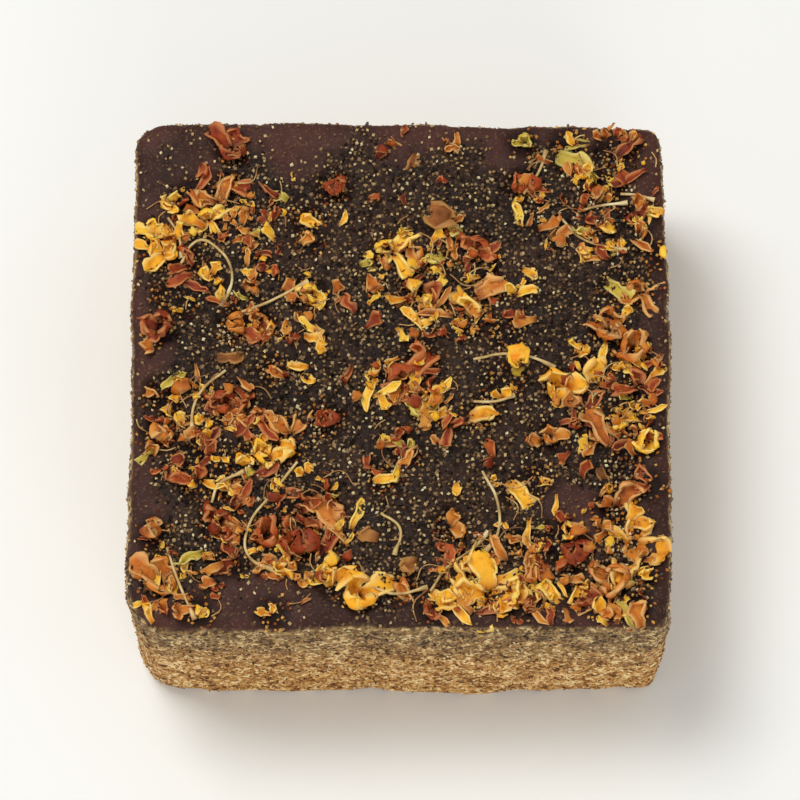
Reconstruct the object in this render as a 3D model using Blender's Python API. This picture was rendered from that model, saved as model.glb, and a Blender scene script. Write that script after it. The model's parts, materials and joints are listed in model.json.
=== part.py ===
"""A block of jaggery: unrefined cane sugar, cast as a slab, set hard and cut square by hand.

Metres, +Z up. The origin is the centre of the flat base, the front is at -Y, and the side that
carries the flowers is the top. The block is one solid. It starts as a cube sliced into a lattice,
whose points are then moved three times: to round its corners and rims, to give it the uneven faces
of a hand-cut piece, and to bring it to its exact size.
"""

import math

import bmesh
import bpy
from mathutils import Matrix, Vector, noise

MM = 0.001

# Driving dimensions.
BLOCK_WIDTH = 40.0 * MM  # along X
BLOCK_DEPTH = 40.0 * MM  # along Y
BLOCK_HEIGHT = 18.0 * MM

# Upright corners as seen from above: the front left one is worn rounder than the others.
FRONT_LEFT_RADIUS = 3.6 * MM
FRONT_RIGHT_RADIUS = 1.7 * MM
BACK_LEFT_RADIUS = 1.9 * MM
BACK_RIGHT_RADIUS = 1.9 * MM

# The rims: the flower side set with a soft edge, and the base is a cut.
TOP_RIM_RADIUS = 0.9 * MM
BASE_RIM_RADIUS = 0.6 * MM

# Hand-cut unevenness. Each wave has a height and a length.
SIDE_BOW = 0.22 * MM
SIDE_BOW_LENGTH = 13.0 * MM
SIDE_CRUMB = 0.13 * MM
SIDE_CRUMB_LENGTH = 2.6 * MM
BASE_CHIP = 0.30 * MM
BASE_CHIP_LENGTH = 3.4 * MM
BASE_CHIP_REACH = 4.0 * MM
BASE_DRAFT = 0.25 * MM  # how much further in the base is than the top, on each side
TOP_SETTLE = 0.16 * MM
TOP_SETTLE_LENGTH = 9.0 * MM
TOP_LUMP = 0.09 * MM
TOP_LUMP_LENGTH = 3.2 * MM

# Lattice spacing: fine across the rims, then even.
RIM_SLICES = (0.3 * MM, 0.65 * MM, 1.1 * MM, 1.8 * MM, 2.8 * MM)
EVEN_SLICE = 1.5 * MM
PLAN_BLEND = 5  # how fast the corner rounding dies away towards the middle of a face

SUGAR_COLOUR = (0.066, 0.036, 0.024, 1.0)
SUGAR_ROUGHNESS = 0.62


def clear_scene():
    for obj in list(bpy.data.objects):
        bpy.data.objects.remove(obj, do_unlink=True)


def slice_places(low, high):
    """Where to slice between two opposite faces: near each of them, and evenly in between."""
    near = [low + step for step in RIM_SLICES]
    far = [high - step for step in reversed(RIM_SLICES)]
    span = far[0] - near[-1]
    count = max(1, round(span / EVEN_SLICE))
    middle = [near[-1] + span * i / count for i in range(1, count)]
    return near + middle + far


def lattice_block():
    """A bmesh cube of the block's size, standing on z = 0 and sliced along all three axes."""
    mesh = bmesh.new()
    bmesh.ops.create_cube(mesh, size=1.0)
    size = Vector((BLOCK_WIDTH, BLOCK_DEPTH, BLOCK_HEIGHT))
    bmesh.ops.transform(mesh, matrix=Matrix.Diagonal(size.to_4d()), verts=mesh.verts)
    bmesh.ops.translate(mesh, vec=(0, 0, BLOCK_HEIGHT / 2), verts=mesh.verts)
    low = Vector((-BLOCK_WIDTH / 2, -BLOCK_DEPTH / 2, 0))
    high = Vector((BLOCK_WIDTH / 2, BLOCK_DEPTH / 2, BLOCK_HEIGHT))
    for axis in range(3):
        normal = Vector.Fill(3)
        normal[axis] = 1.0
        for place in slice_places(low[axis], high[axis]):
            bmesh.ops.bisect_plane(
                mesh,
                geom=mesh.verts[:] + mesh.edges[:] + mesh.faces[:],
                dist=1e-7,
                plane_co=normal * place,
                plane_no=normal,
            )
    return mesh


def corner_radius(x, y):
    """The upright corner's radius in the quarter of the plan that holds this point."""
    if y < 0:
        return FRONT_LEFT_RADIUS if x < 0 else FRONT_RIGHT_RADIUS
    return BACK_LEFT_RADIUS if x < 0 else BACK_RIGHT_RADIUS


def rounded_outline(x, y):
    """A point on the square outline, moved onto the outline with rounded corners."""
    radius = corner_radius(x, y)
    reach_x = BLOCK_WIDTH / 2 - radius
    reach_y = BLOCK_DEPTH / 2 - radius
    centre = Vector((max(-reach_x, min(reach_x, x)), max(-reach_y, min(reach_y, y))))
    out = Vector((x, y)) - centre
    return centre + out.normalized() * radius


def round_rim(inset, drop, radius):
    """Moves a point near a rim onto its quarter round.

    inset is how far the point is inside the outline, and drop how far it is from the flat face.
    """
    if inset >= radius or drop >= radius:
        return inset, drop
    out = Vector((radius - inset, radius - drop)).normalized() * radius
    return radius - out.x, radius - out.y


def rounded_place(point):
    """A lattice point, moved onto the block with rounded corners and rims."""
    half = BLOCK_WIDTH / 2
    share = max(abs(point.x) / half, abs(point.y) / (BLOCK_DEPTH / 2))
    if share < 1e-6:
        return point.copy()
    edge = Vector((point.x, point.y)) / share
    corner_shift = rounded_outline(edge.x, edge.y) - edge
    inset = (1 - share) * half
    if point.z > BLOCK_HEIGHT / 2:
        inset, drop = round_rim(inset, BLOCK_HEIGHT - point.z, TOP_RIM_RADIUS)
        z = BLOCK_HEIGHT - drop
    else:
        inset, z = round_rim(inset, point.z, BASE_RIM_RADIUS)
    share = 1 - inset / half
    plan = edge * share + corner_shift * share**PLAN_BLEND
    return Vector((plan.x, plan.y, z))


def wave(point, height, length, seed):
    """Smooth unevenness of the given height, whose swells are about one length across."""
    return height * 2 * noise.noise(point / length + Vector((seed, 2.3 * seed, -seed)))


def uneven_place(point):
    """A point of the rounded block, moved by the unevenness of a cast and cut piece."""
    share = max(abs(point.x) / (BLOCK_WIDTH / 2), abs(point.y) / (BLOCK_DEPTH / 2))
    outward = Vector((point.x, point.y, 0)).normalized()
    swell = wave(point, SIDE_BOW, SIDE_BOW_LENGTH, 4.1)
    swell += wave(point, SIDE_CRUMB, SIDE_CRUMB_LENGTH, 7.7)
    low = max(0.0, 1 - point.z / BASE_CHIP_REACH)
    swell -= abs(wave(point, BASE_CHIP, BASE_CHIP_LENGTH, 1.3)) * low
    swell -= BASE_DRAFT * (1 - point.z / BLOCK_HEIGHT)
    moved = point + outward * swell * share**PLAN_BLEND
    high = max(0.0, point.z / BLOCK_HEIGHT - 0.5) * 2
    rise = wave(point, TOP_SETTLE, TOP_SETTLE_LENGTH, 9.2)
    rise += wave(point, TOP_LUMP, TOP_LUMP_LENGTH, 5.6)
    moved.z += rise * high**2
    return moved


def fit_to_size(mesh):
    """Scales and centres the mesh to the exact block size, with its base on z = 0."""
    low = Vector([min(v.co[i] for v in mesh.verts) for i in range(3)])
    high = Vector([max(v.co[i] for v in mesh.verts) for i in range(3)])
    size = Vector((BLOCK_WIDTH, BLOCK_DEPTH, BLOCK_HEIGHT))
    base = Vector(((low.x + high.x) / 2, (low.y + high.y) / 2, low.z))
    for vertex in mesh.verts:
        away = vertex.co - base
        vertex.co = Vector([away[i] * size[i] / (high[i] - low[i]) for i in range(3)])


def sugar_material():
    material = bpy.data.materials.new("set_jaggery")
    material.use_nodes = True
    shader = material.node_tree.nodes["Principled BSDF"]
    shader.inputs["Base Color"].default_value = SUGAR_COLOUR
    shader.inputs["Roughness"].default_value = SUGAR_ROUGHNESS
    shader.inputs["Metallic"].default_value = 0.0
    return material


def jaggery_block():
    lattice = lattice_block()
    for vertex in lattice.verts:
        vertex.co = uneven_place(rounded_place(vertex.co))
    fit_to_size(lattice)
    mesh = bpy.data.meshes.new("sugar_block")
    lattice.to_mesh(mesh)
    lattice.free()
    mesh.materials.append(sugar_material())
    mesh.shade_smooth()
    mesh.set_sharp_from_angle(angle=math.radians(50))
    return bpy.data.objects.new("sugar_block", mesh)


def main():
    clear_scene()
    collection = bpy.data.collections.new("jaggery_block")
    bpy.context.scene.collection.children.link(collection)
    collection.objects.link(jaggery_block())


main()
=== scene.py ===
"""The looks of a block of osmanthus jaggery: dark cane sugar, cast in a slab with dried blossoms
strewn over it, set hard and cut square by hand.

Metres, +Z up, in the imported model's frame: the front is at -Y and the blossoms are on top. The
block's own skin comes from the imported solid. Sugar grains, blossoms and stalks are laid on it by
Geometry Nodes, and each kind of topping becomes one plain mesh.
"""

import json
import math
import random

import bmesh
import bpy
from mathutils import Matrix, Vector, noise

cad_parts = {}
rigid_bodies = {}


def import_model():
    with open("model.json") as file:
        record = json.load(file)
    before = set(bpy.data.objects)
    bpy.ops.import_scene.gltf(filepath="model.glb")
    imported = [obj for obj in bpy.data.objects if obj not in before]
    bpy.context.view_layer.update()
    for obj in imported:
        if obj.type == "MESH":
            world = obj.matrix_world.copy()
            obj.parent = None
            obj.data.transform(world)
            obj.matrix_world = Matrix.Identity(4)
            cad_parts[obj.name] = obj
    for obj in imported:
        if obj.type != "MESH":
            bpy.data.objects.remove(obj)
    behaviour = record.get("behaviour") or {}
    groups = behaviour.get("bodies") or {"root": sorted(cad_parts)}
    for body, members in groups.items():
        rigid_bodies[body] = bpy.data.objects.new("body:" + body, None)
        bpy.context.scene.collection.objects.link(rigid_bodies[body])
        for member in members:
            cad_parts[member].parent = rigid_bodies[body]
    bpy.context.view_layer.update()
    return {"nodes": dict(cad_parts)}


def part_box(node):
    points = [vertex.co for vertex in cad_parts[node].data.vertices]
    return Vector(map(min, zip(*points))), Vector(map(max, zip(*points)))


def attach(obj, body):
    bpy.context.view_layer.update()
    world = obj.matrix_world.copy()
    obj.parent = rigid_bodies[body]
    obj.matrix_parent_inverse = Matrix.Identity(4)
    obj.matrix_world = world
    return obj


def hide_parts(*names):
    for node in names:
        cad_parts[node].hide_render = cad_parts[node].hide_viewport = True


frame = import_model()
noise.seed_set(7)  # noise vectors come from the clock unless they are given a seed

MM = 0.001
BLOCK_LOW, BLOCK_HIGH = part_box("sugar_block")
HALF_WIDTH = (BLOCK_HIGH.x - BLOCK_LOW.x) / 2
HEIGHT = BLOCK_HIGH.z - BLOCK_LOW.z
TOP = BLOCK_HIGH.z

# The skin: how fine its mesh is, and the sizes of its relief.
SIDE_SPACING = 0.36 * MM  # the top, which shows most, is twice as fine
LUMP_HEIGHT = 0.16 * MM
LUMP_SIZE = 2.2 * MM
CRUST_HEIGHT = 0.40 * MM  # sugar that set in granules
CRUST_SIZE = 0.55 * MM
SAND_HEIGHT = 0.22 * MM  # the cut sides, where the knife tore granules out
SAND_SIZE = 0.50 * MM
SMOOTH_BORDER = 1.5 * MM  # along the rims the sugar set smooth
PIT_DEPTH = 0.5 * MM  # blossoms sank into the sugar as it set
PIT_REACH = 2.0 * MM
TOP_BAND = 1.4 * MM  # how far down from the top the finer mesh goes
BASE_FLAT = 0.2 * MM  # up to here there is no relief, so that the block rests level
BASE_FULL = 1.2 * MM  # and from here up there is all of it

# Dried osmanthus: four thick lobes on a short throat, and a thread-like stalk.
LOBE_LENGTH = 2.25 * MM
LOBE_WIDTH = 1.75 * MM
PETAL_THICKNESS = 0.18 * MM
THROAT = 0.22 * MM  # from the middle of a blossom to the foot of each lobe
RUFFLE = 0.75 * MM
CRUMPLE = 0.42 * MM
CRUMPLE_SIZE = 1.0 * MM
PRESSED = 0.55  # how flat a blossom lies, as a share of its full height
CEILING = 0.75 * MM  # the blossoms were patted down: nothing stands higher over the top
RIM_GAP = 0.3 * MM  # how far the blossoms stay inside the rims
STALK_THICKNESS = 0.28 * MM
FIBRE_THICKNESS = 0.13 * MM

# Toppings are dropped on the block from this height over it, and fall this far at most.
DROP_HEIGHT = 5.0 * MM
DROP_REACH = 30.0 * MM


# ---------------------------------------------------------------- small tools


def colour(code):
    """An sRGB hex code as a linear colour."""
    channels = [int(code[i : i + 2], 16) / 255 for i in (1, 3, 5)]
    linear = [c / 12.92 if c <= 0.04045 else ((c + 0.055) / 1.055) ** 2.4 for c in channels]
    return (*linear, 1.0)


def add(tree, kind, inputs=None, **settings):
    """Adds a node. inputs gives a socket, by name or number, a value or another node's output.

    Numbers are for sockets without a name of their own. A colour Mix has its factor at 0 and its
    colours at 6 and 7. A Map Range has its value at 0, the range of that at 1 and 2, and what it
    becomes at 3 and 4.
    """
    node = tree.nodes.new(kind)
    for name, value in settings.items():
        setattr(node, name, value)
    for key, value in (inputs or {}).items():
        if isinstance(value, bpy.types.NodeSocket):
            tree.links.new(value, node.inputs[key])
        else:
            node.inputs[key].default_value = value
    return node


def start_tree(name, sockets):
    """A Geometry Nodes tree with these named inputs, and the outputs of its input node."""
    tree = bpy.data.node_groups.new(name, "GeometryNodeTree")
    tree.interface.new_socket("Geometry", in_out="INPUT", socket_type="NodeSocketGeometry")
    for label, kind in sockets.items():
        tree.interface.new_socket(label, in_out="INPUT", socket_type="NodeSocket" + kind)
    tree.interface.new_socket("Geometry", in_out="OUTPUT", socket_type="NodeSocketGeometry")
    return tree, tree.nodes.new("NodeGroupInput").outputs


def end_tree(tree, geometry, material):
    """Realizes what the tree made, gives it its material and hands it out."""
    real = add(tree, "GeometryNodeRealizeInstances", {"Geometry": geometry})
    made = add(tree, "GeometryNodeSetMaterial", {"Geometry": real.outputs[0], "Material": material})
    tree.links.new(made.outputs[0], tree.nodes.new("NodeGroupOutput").inputs[0])


def link(obj):
    bpy.context.scene.collection.objects.link(obj)
    return obj


def grow(name, source, tree, values):
    """Runs a tree on an object's mesh and returns the result as a plain mesh object."""
    worker = link(bpy.data.objects.new("worker", source.data))
    modifier = worker.modifiers.new("grow", "NODES")
    modifier.node_group = tree
    for item in tree.interface.items_tree:
        if item.item_type == "SOCKET" and item.in_out == "INPUT" and item.name in values:
            modifier[item.identifier] = values[item.name]
    depsgraph = bpy.context.evaluated_depsgraph_get()
    mesh = bpy.data.meshes.new_from_object(worker.evaluated_get(depsgraph), depsgraph=depsgraph)
    bpy.data.objects.remove(worker)
    mesh.name = name
    return link(bpy.data.objects.new(name, mesh))


def apply_modifiers(obj):
    """Replaces an object's mesh with what its modifiers make of it."""
    depsgraph = bpy.context.evaluated_depsgraph_get()
    mesh = bpy.data.meshes.new_from_object(obj.evaluated_get(depsgraph), depsgraph=depsgraph)
    obj.modifiers.clear()
    obj.data = mesh


def discard(obj):
    bpy.data.objects.remove(obj)


# ---------------------------------------------------------------- materials


def start_material(name):
    """A new material, its tree, its shader and the piece's own Object coordinates."""
    material = bpy.data.materials.new(name)
    material.use_nodes = True
    tree = material.node_tree
    shader = tree.nodes["Principled BSDF"]
    shader.inputs["Metallic"].default_value = 0.0
    place = add(tree, "ShaderNodeTexCoord").outputs["Object"]
    return material, tree, shader, place


def fill_ramp(node, stops):
    """Gives a colour ramp these stops: pairs of a place and a hex code."""
    elements = node.color_ramp.elements
    while len(elements) < len(stops):
        elements.new(0.5)
    for element, (at, code) in zip(elements, stops, strict=True):
        element.position = at
        element.color = colour(code)


def sand_colour(tree, place, value):
    """The cut sides' colour: granules from dark brown to cream, greyer above and golden below,
    lighter and darker in clumps."""
    clump = add(
        tree, "ShaderNodeTexNoise", {"Vector": place, "Scale": 1 / (1.2 * MM), "Detail": 3.0}
    ).outputs["Fac"]
    clump = add(
        tree, "ShaderNodeMath", {0: clump, 1: 1.4, 2: -0.7}, operation="MULTIPLY_ADD"
    ).outputs[0]
    value = add(tree, "ShaderNodeMath", {0: value, 1: clump}, operation="ADD").outputs[0]
    grey_sand = add(tree, "ShaderNodeValToRGB", {0: value})
    fill_ramp(grey_sand, ((0.0, "#3E2E20"), (0.3, "#765C3C"), (0.75, "#A68452"), (1.0, "#DCC08C")))
    gold_sand = add(tree, "ShaderNodeValToRGB", {0: value})
    fill_ramp(gold_sand, ((0.0, "#5C3619"), (0.3, "#A47038"), (0.7, "#CE9C58"), (1.0, "#F4D8A0")))
    height = add(tree, "ShaderNodeSeparateXYZ", {0: place}).outputs[2]
    strata = add(
        tree, "ShaderNodeVectorMath", {0: place, 1: (0.5, 0.5, 2.2)}, operation="MULTIPLY"
    ).outputs[0]
    drift = add(
        tree, "ShaderNodeTexNoise", {"Vector": strata, "Scale": 1 / (4.0 * MM), "Detail": 5.0}
    ).outputs["Fac"]
    level = add(
        tree, "ShaderNodeMath", {0: drift, 1: 10.0 * MM, 2: height}, operation="MULTIPLY_ADD"
    ).outputs[0]
    grey = add(
        tree,
        "ShaderNodeMapRange",
        {0: level, 1: 0.6 * HEIGHT, 2: 1.18 * HEIGHT},
        interpolation_type="SMOOTHSTEP",
    ).outputs[0]
    return add(
        tree,
        "ShaderNodeMix",
        {0: grey, 6: gold_sand.outputs[0], 7: grey_sand.outputs[0]},
        data_type="RGBA",
    ).outputs[2]


def set_jaggery():
    """Unrefined cane sugar, boiled, cast and set. It is near black where it set in granules, plum
    brown where it set smooth, and sandy tan where the knife laid its crystals open."""
    material, tree, shader, place = start_material("set_jaggery")
    granular = add(tree, "ShaderNodeAttribute", attribute_name="granular").outputs["Fac"]
    pit = add(tree, "ShaderNodeAttribute", attribute_name="pit").outputs["Fac"]
    side = add(tree, "ShaderNodeAttribute", attribute_name="side").outputs["Fac"]

    # The flower side.
    cloud = add(
        tree, "ShaderNodeTexNoise", {"Vector": place, "Scale": 1 / (5.0 * MM), "Detail": 3.0}
    ).outputs["Fac"]
    cloud = add(
        tree, "ShaderNodeMapRange", {0: cloud, 1: 0.35, 2: 0.65}, interpolation_type="SMOOTHSTEP"
    ).outputs[0]
    smooth_tint = add(
        tree,
        "ShaderNodeMix",
        {0: cloud, 6: colour("#52302A"), 7: colour("#3C241F")},
        data_type="RGBA",
    ).outputs[2]
    granule_tint = add(
        tree,
        "ShaderNodeMix",
        {0: cloud, 6: colour("#33221A"), 7: colour("#221813")},
        data_type="RGBA",
    ).outputs[2]
    top_tint = add(
        tree, "ShaderNodeMix", {0: granular, 6: smooth_tint, 7: granule_tint}, data_type="RGBA"
    ).outputs[2]
    grit = add(
        tree, "ShaderNodeTexNoise", {"Vector": place, "Scale": 1 / (0.22 * MM), "Detail": 2.0}
    ).outputs["Fac"]
    # The highest grit carries a light frost of pale sugar.
    frost = add(tree, "ShaderNodeMapRange", {0: grit, 1: 0.56, 2: 0.72, 4: 0.3}).outputs[0]
    top_tint = add(
        tree, "ShaderNodeMix", {0: frost, 6: top_tint, 7: colour("#9A7A58")}, data_type="RGBA"
    ).outputs[2]
    # Painted shade: down in the pits round the blossoms, where their shadow falls, the sugar is
    # darkened to near black.
    pit_painted_shade = add(
        tree, "ShaderNodeMix", {0: pit, 6: top_tint, 7: colour("#1E0F0A")}, data_type="RGBA"
    ).outputs[2]

    # The cut sides, where each granule has a tone of its own.
    cell = add(tree, "ShaderNodeTexVoronoi", {"Vector": place, "Scale": 1 / (0.28 * MM)})
    cell_value = add(tree, "ShaderNodeSeparateColor", {0: cell.outputs["Color"]}).outputs[0]
    sand_tint = sand_colour(tree, place, cell_value)
    tint = add(
        tree, "ShaderNodeMix", {0: side, 6: pit_painted_shade, 7: sand_tint}, data_type="RGBA"
    ).outputs[2]
    tree.links.new(tint, shader.inputs["Base Color"])

    rough = add(tree, "ShaderNodeMapRange", {0: grit, 1: 0.3, 2: 0.7, 3: 0.42, 4: 0.8}).outputs[0]
    tree.links.new(rough, shader.inputs["Roughness"])
    shader.inputs["Specular IOR Level"].default_value = 0.12
    bump = add(
        tree, "ShaderNodeBump", {"Strength": 0.5, "Distance": 0.06 * MM, "Height": grit}
    ).outputs[0]
    tree.links.new(bump, shader.inputs["Normal"])
    return material


def sugar_grains(name, stops, roughness):
    """Crystals of raw sugar, each of one tone, with the faint gloss of their faces. Without stops
    they take the colours of the cut side that they sit on."""
    material, tree, shader, place = start_material(name)
    tone = add(tree, "ShaderNodeAttribute", attribute_name="tone").outputs["Fac"]
    if stops:
        ramp = add(tree, "ShaderNodeValToRGB", {0: tone})
        fill_ramp(ramp, stops)
        tint = ramp.outputs[0]
    else:
        tint = sand_colour(tree, place, tone)
    tree.links.new(tint, shader.inputs["Base Color"])
    shader.inputs["Roughness"].default_value = roughness
    shader.inputs["Specular IOR Level"].default_value = 0.2
    shader.inputs["Subsurface Weight"].default_value = 0.1
    shader.inputs["Subsurface Scale"].default_value = 1.0 * MM
    return material


def dried_petal(name, deep, middle, light, rim_and_highlight_code):
    """Petal shrivelled by drying: wrinkled lengthwise, deeper in the throat (partly painted shade),
    paler at the rims (partly painted highlight).
    """
    material, tree, shader, place = start_material(name)
    tone = add(tree, "ShaderNodeAttribute", attribute_name="tone").outputs["Fac"]
    along = add(tree, "ShaderNodeAttribute", attribute_name="along").outputs["Fac"]
    across = add(tree, "ShaderNodeAttribute", attribute_name="across").outputs["Fac"]
    mottle = add(
        tree, "ShaderNodeTexNoise", {"Vector": place, "Scale": 1 / (0.9 * MM), "Detail": 4.0}
    ).outputs["Fac"]
    shift = add(
        tree, "ShaderNodeMath", {0: mottle, 1: 1.2, 2: -0.6}, operation="MULTIPLY_ADD"
    ).outputs[0]
    shade = add(tree, "ShaderNodeMath", {0: tone, 1: shift}, operation="ADD").outputs[0]
    ramp = add(tree, "ShaderNodeValToRGB", {0: shade})
    fill_ramp(ramp, ((0.0, deep), (0.45, middle), (1.0, light)))
    # Paler at the rims: partly the petal's own cream edge, partly a painted highlight.
    rim_and_highlight_mask = add(tree, "ShaderNodeMath", {0: across}, operation="ABSOLUTE").outputs[0]
    rim_and_highlight_mask = add(tree, "ShaderNodeMapRange", {0: rim_and_highlight_mask, 1: 0.55, 2: 1.0, 4: 0.6}).outputs[0]
    rim_and_highlight_tint = add(
        tree, "ShaderNodeMix", {0: rim_and_highlight_mask, 6: ramp.outputs[0], 7: colour(rim_and_highlight_code)}, data_type="RGBA"
    ).outputs[2]
    # Deeper towards the throat: partly the petal's own darker base, partly painted shade where the
    # lobes cup together.
    throat = add(tree, "ShaderNodeMapRange", {0: along, 1: 0.35, 2: 0.0, 4: 0.7}).outputs[0]
    tint = add(
        tree, "ShaderNodeMix", {0: throat, 6: rim_and_highlight_tint, 7: colour(deep)}, data_type="RGBA"
    ).outputs[2]
    tree.links.new(tint, shader.inputs["Base Color"])

    rows = add(tree, "ShaderNodeCombineXYZ", {0: across, 1: along, 2: tone}).outputs[0]
    rows = add(
        tree, "ShaderNodeVectorMath", {0: rows, 1: (5.0, 1.5, 40.0)}, operation="MULTIPLY"
    ).outputs[0]
    wrinkle = add(
        tree, "ShaderNodeTexNoise", {"Vector": rows, "Scale": 1.0, "Detail": 3.0}
    ).outputs["Fac"]
    bump = add(
        tree, "ShaderNodeBump", {"Strength": 0.6, "Distance": 0.12 * MM, "Height": wrinkle}
    ).outputs[0]
    tree.links.new(bump, shader.inputs["Normal"])
    shader.inputs["Roughness"].default_value = 0.55
    shader.inputs["Specular IOR Level"].default_value = 0.2
    shader.inputs["Subsurface Weight"].default_value = 0.15
    shader.inputs["Subsurface Scale"].default_value = 1.0 * MM
    return material


def dried_stalk(name, stops):
    """Flower stalk, dried to straw: pale, a little fibrous, browner in stretches."""
    material, tree, shader, place = start_material(name)
    streak = add(
        tree, "ShaderNodeTexNoise", {"Vector": place, "Scale": 1 / (1.4 * MM), "Detail": 3.0}
    ).outputs["Fac"]
    ramp = add(tree, "ShaderNodeValToRGB", {0: streak})
    fill_ramp(ramp, stops)
    tree.links.new(ramp.outputs[0], shader.inputs["Base Color"])
    shader.inputs["Roughness"].default_value = 0.5
    shader.inputs["Subsurface Weight"].default_value = 0.1
    shader.inputs["Subsurface Scale"].default_value = 1.0 * MM
    return material


# ---------------------------------------------------------------- where the toppings lie

# Each kind of topping is laid one by one: its place on the top in millimetres from the middle,
# right and back, its size against a full blossom, its turn in degrees, and its shape.
GOLDEN = (
    (6.4, -18.3, 1.35, 20, "open"),
    (4.6, -17.0, 1.1, 80, "petals"),
    (5.4, -15.2, 1.0, 100, "petals"),
    (8.8, -18.6, 0.9, -20, "petals"),
    (10.6, -16.7, 0.95, 35, "petal"),
    (17.4, -13.2, 1.35, 70, "open"),
    (16.8, -11.6, 0.8, 60, "petals"),
    (17.8, -15.4, 0.8, 95, "petal"),
    (-3.0, -18.0, 1.2, 40, "closed"),
    (-4.6, -16.2, 0.8, 110, "petals"),
    (16.2, -3.4, 0.85, 10, "open"),
    (18.2, -5.4, 0.9, 50, "closed"),
    (-8.0, -6.0, 0.9, 30, "petal"),
    (-9.8, -6.6, 1.0, 75, "crumpled"),
    (-11.6, -7.0, 0.7, 15, "crumpled"),
    (-0.6, 9.4, 1.1, 30, "crumpled"),
    (1.4, 7.3, 0.9, 120, "curl"),
    (5.6, 4.2, 1.25, 60, "petals"),
    (7.8, 2.8, 1.4, 10, "curl"),
    (11.6, -1.2, 0.95, 20, "closed"),
    (14.2, -0.2, 0.95, 120, "petal"),
    (8.8, -9.4, 1.0, 30, "petal"),
    (10.2, -8.2, 0.7, 60, "curl"),
    (18.3, 12.0, 1.05, 150, "curl"),
    (18.9, 9.2, 0.7, 70, "curl"),
    (-14.2, 11.9, 0.85, 20, "crumpled"),
    (-6.8, 12.0, 0.8, 50, "petal"),
    (6.2, -3.2, 0.85, 25, "petal"),
    (-1.0, -8.2, 0.7, 60, "petal"),
    (-6.6, 6.2, 0.7, 60, "crumpled"),
    (-14.6, -18.9, 0.6, 20, "crumpled"),
    (-18.3, 10.6, 0.75, 40, "crumpled"),
    (-17.5, 9.2, 0.8, 110, "crumpled"),
    (-19.0, 9.4, 0.6, 10, "petals"),
    (7.6, -17.4, 1.0, 150, "petals"),
    (3.2, -17.4, 0.8, 10, "petal"),
    (-9.2, -19.2, 0.5, 30, "petals"),
)
AMBER = (
    (15.4, 3.2, 1.1, 30, "crumpled"),
    (17.8, 1.6, 1.25, 60, "closed"),
    (15.4, -15.9, 1.15, 15, "closed"),
    (14.4, -18.6, 0.9, 80, "petals"),
    (17.0, -18.2, 1.0, 160, "petal"),
    (16.6, -9.0, 1.15, 110, "petal"),
    (15.4, -10.8, 0.9, 70, "curl"),
    (14.6, -4.4, 1.1, 160, "petal"),
    (18.2, 6.2, 0.95, 20, "crumpled"),
    (15.4, 14.8, 1.0, 110, "curl"),
    (-13.6, 13.2, 1.0, 30, "petals"),
    (-6.6, 10.6, 0.8, 80, "petal"),
    (-9.2, 0.2, 0.7, 45, "petal"),
    (-17.6, -1.6, 1.0, 80, "curl"),
    (-16.6, -4.0, 1.0, 100, "curl"),
    (-18.0, -5.0, 0.9, 20, "crumpled"),
    (-15.2, -6.6, 1.0, 60, "curl"),
    (-12.8, -8.8, 0.8, 120, "petals"),
    (-18.8, -12.6, 0.9, 90, "crumpled"),
    (-18.2, -16.0, 1.1, 30, "crumpled"),
    (3.6, -11.8, 0.8, 40, "petals"),
    (-12.2, 3.6, 0.9, 100, "crumpled"),
    (6.6, 6.6, 0.9, 60, "petal"),
    (0.4, -16.6, 1.0, 0, "petal"),
    (-5.4, -10.6, 1.0, -15, "petal"),
    (11.6, -12.6, 0.8, 20, "curl"),
    (11.0, -5.0, 0.6, 20, "closed"),
    (-8.0, -4.8, 1.0, 20, "petals"),
    (9.2, -12.9, 0.7, 70, "petals"),
    (-10.4, 3.9, 0.8, 30, "crumpled"),
)
RUSSET = (
    (-12.6, 17.7, 1.0, 20, "crumpled"),
    (-12.6, 14.6, 0.9, 70, "petal"),
    (-4.9, 14.4, 0.95, 50, "crumpled"),
    (9.2, 14.8, 1.05, 10, "crumpled"),
    (17.0, 17.7, 0.9, 80, "petal"),
    (5.6, 9.6, 0.95, 40, "crumpled"),
    (2.4, 6.2, 0.7, 100, "petal"),
    (-18.6, 3.4, 1.0, 90, "closed"),
    (0.4, -0.6, 1.35, 30, "crumpled"),
    (1.8, 1.0, 0.8, 70, "petals"),
    (-12.8, -2.6, 1.0, 60, "crumpled"),
    (-14.8, -8.4, 0.8, 30, "petals"),
    (-5.4, -3.8, 0.8, 20, "crumpled"),
    (-7.2, -13.4, 1.4, 10, "crumpled"),
    (-9.6, -12.4, 1.05, 70, "closed"),
    (-5.2, -13.2, 1.0, 150, "petal"),
    (-6.8, -10.9, 0.9, 50, "petals"),
    (-13.2, -11.8, 1.05, 30, "crumpled"),
    (-12.0, -14.4, 0.8, 80, "petals"),
    (12.6, -14.2, 1.25, 40, "crumpled"),
    (13.0, -17.0, 0.9, 100, "petals"),
    (2.4, -18.8, 0.7, 10, "petals"),
    (17.6, -1.2, 0.9, 60, "petals"),
    (19.0, -8.6, 0.7, 90, "petals"),
    (-15.6, 8.4, 0.7, 60, "petals"),
    (13.6, -2.8, 0.8, 10, "petals"),
)
GREENISH = (
    (12.4, 18.4, 0.95, 80, "curl"),
    (13.0, 16.6, 1.0, 10, "petal"),
    (3.4, 9.2, 0.85, 70, "petals"),
    (16.0, 6.6, 0.85, 40, "petal"),
    (2.2, -3.2, 0.85, 30, "petals"),
    (0.6, -6.0, 0.5, 10, "petals"),
    (8.0, -0.6, 0.6, 60, "curl"),
    (9.2, 18.2, 0.5, 60, "closed"),
)

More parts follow.
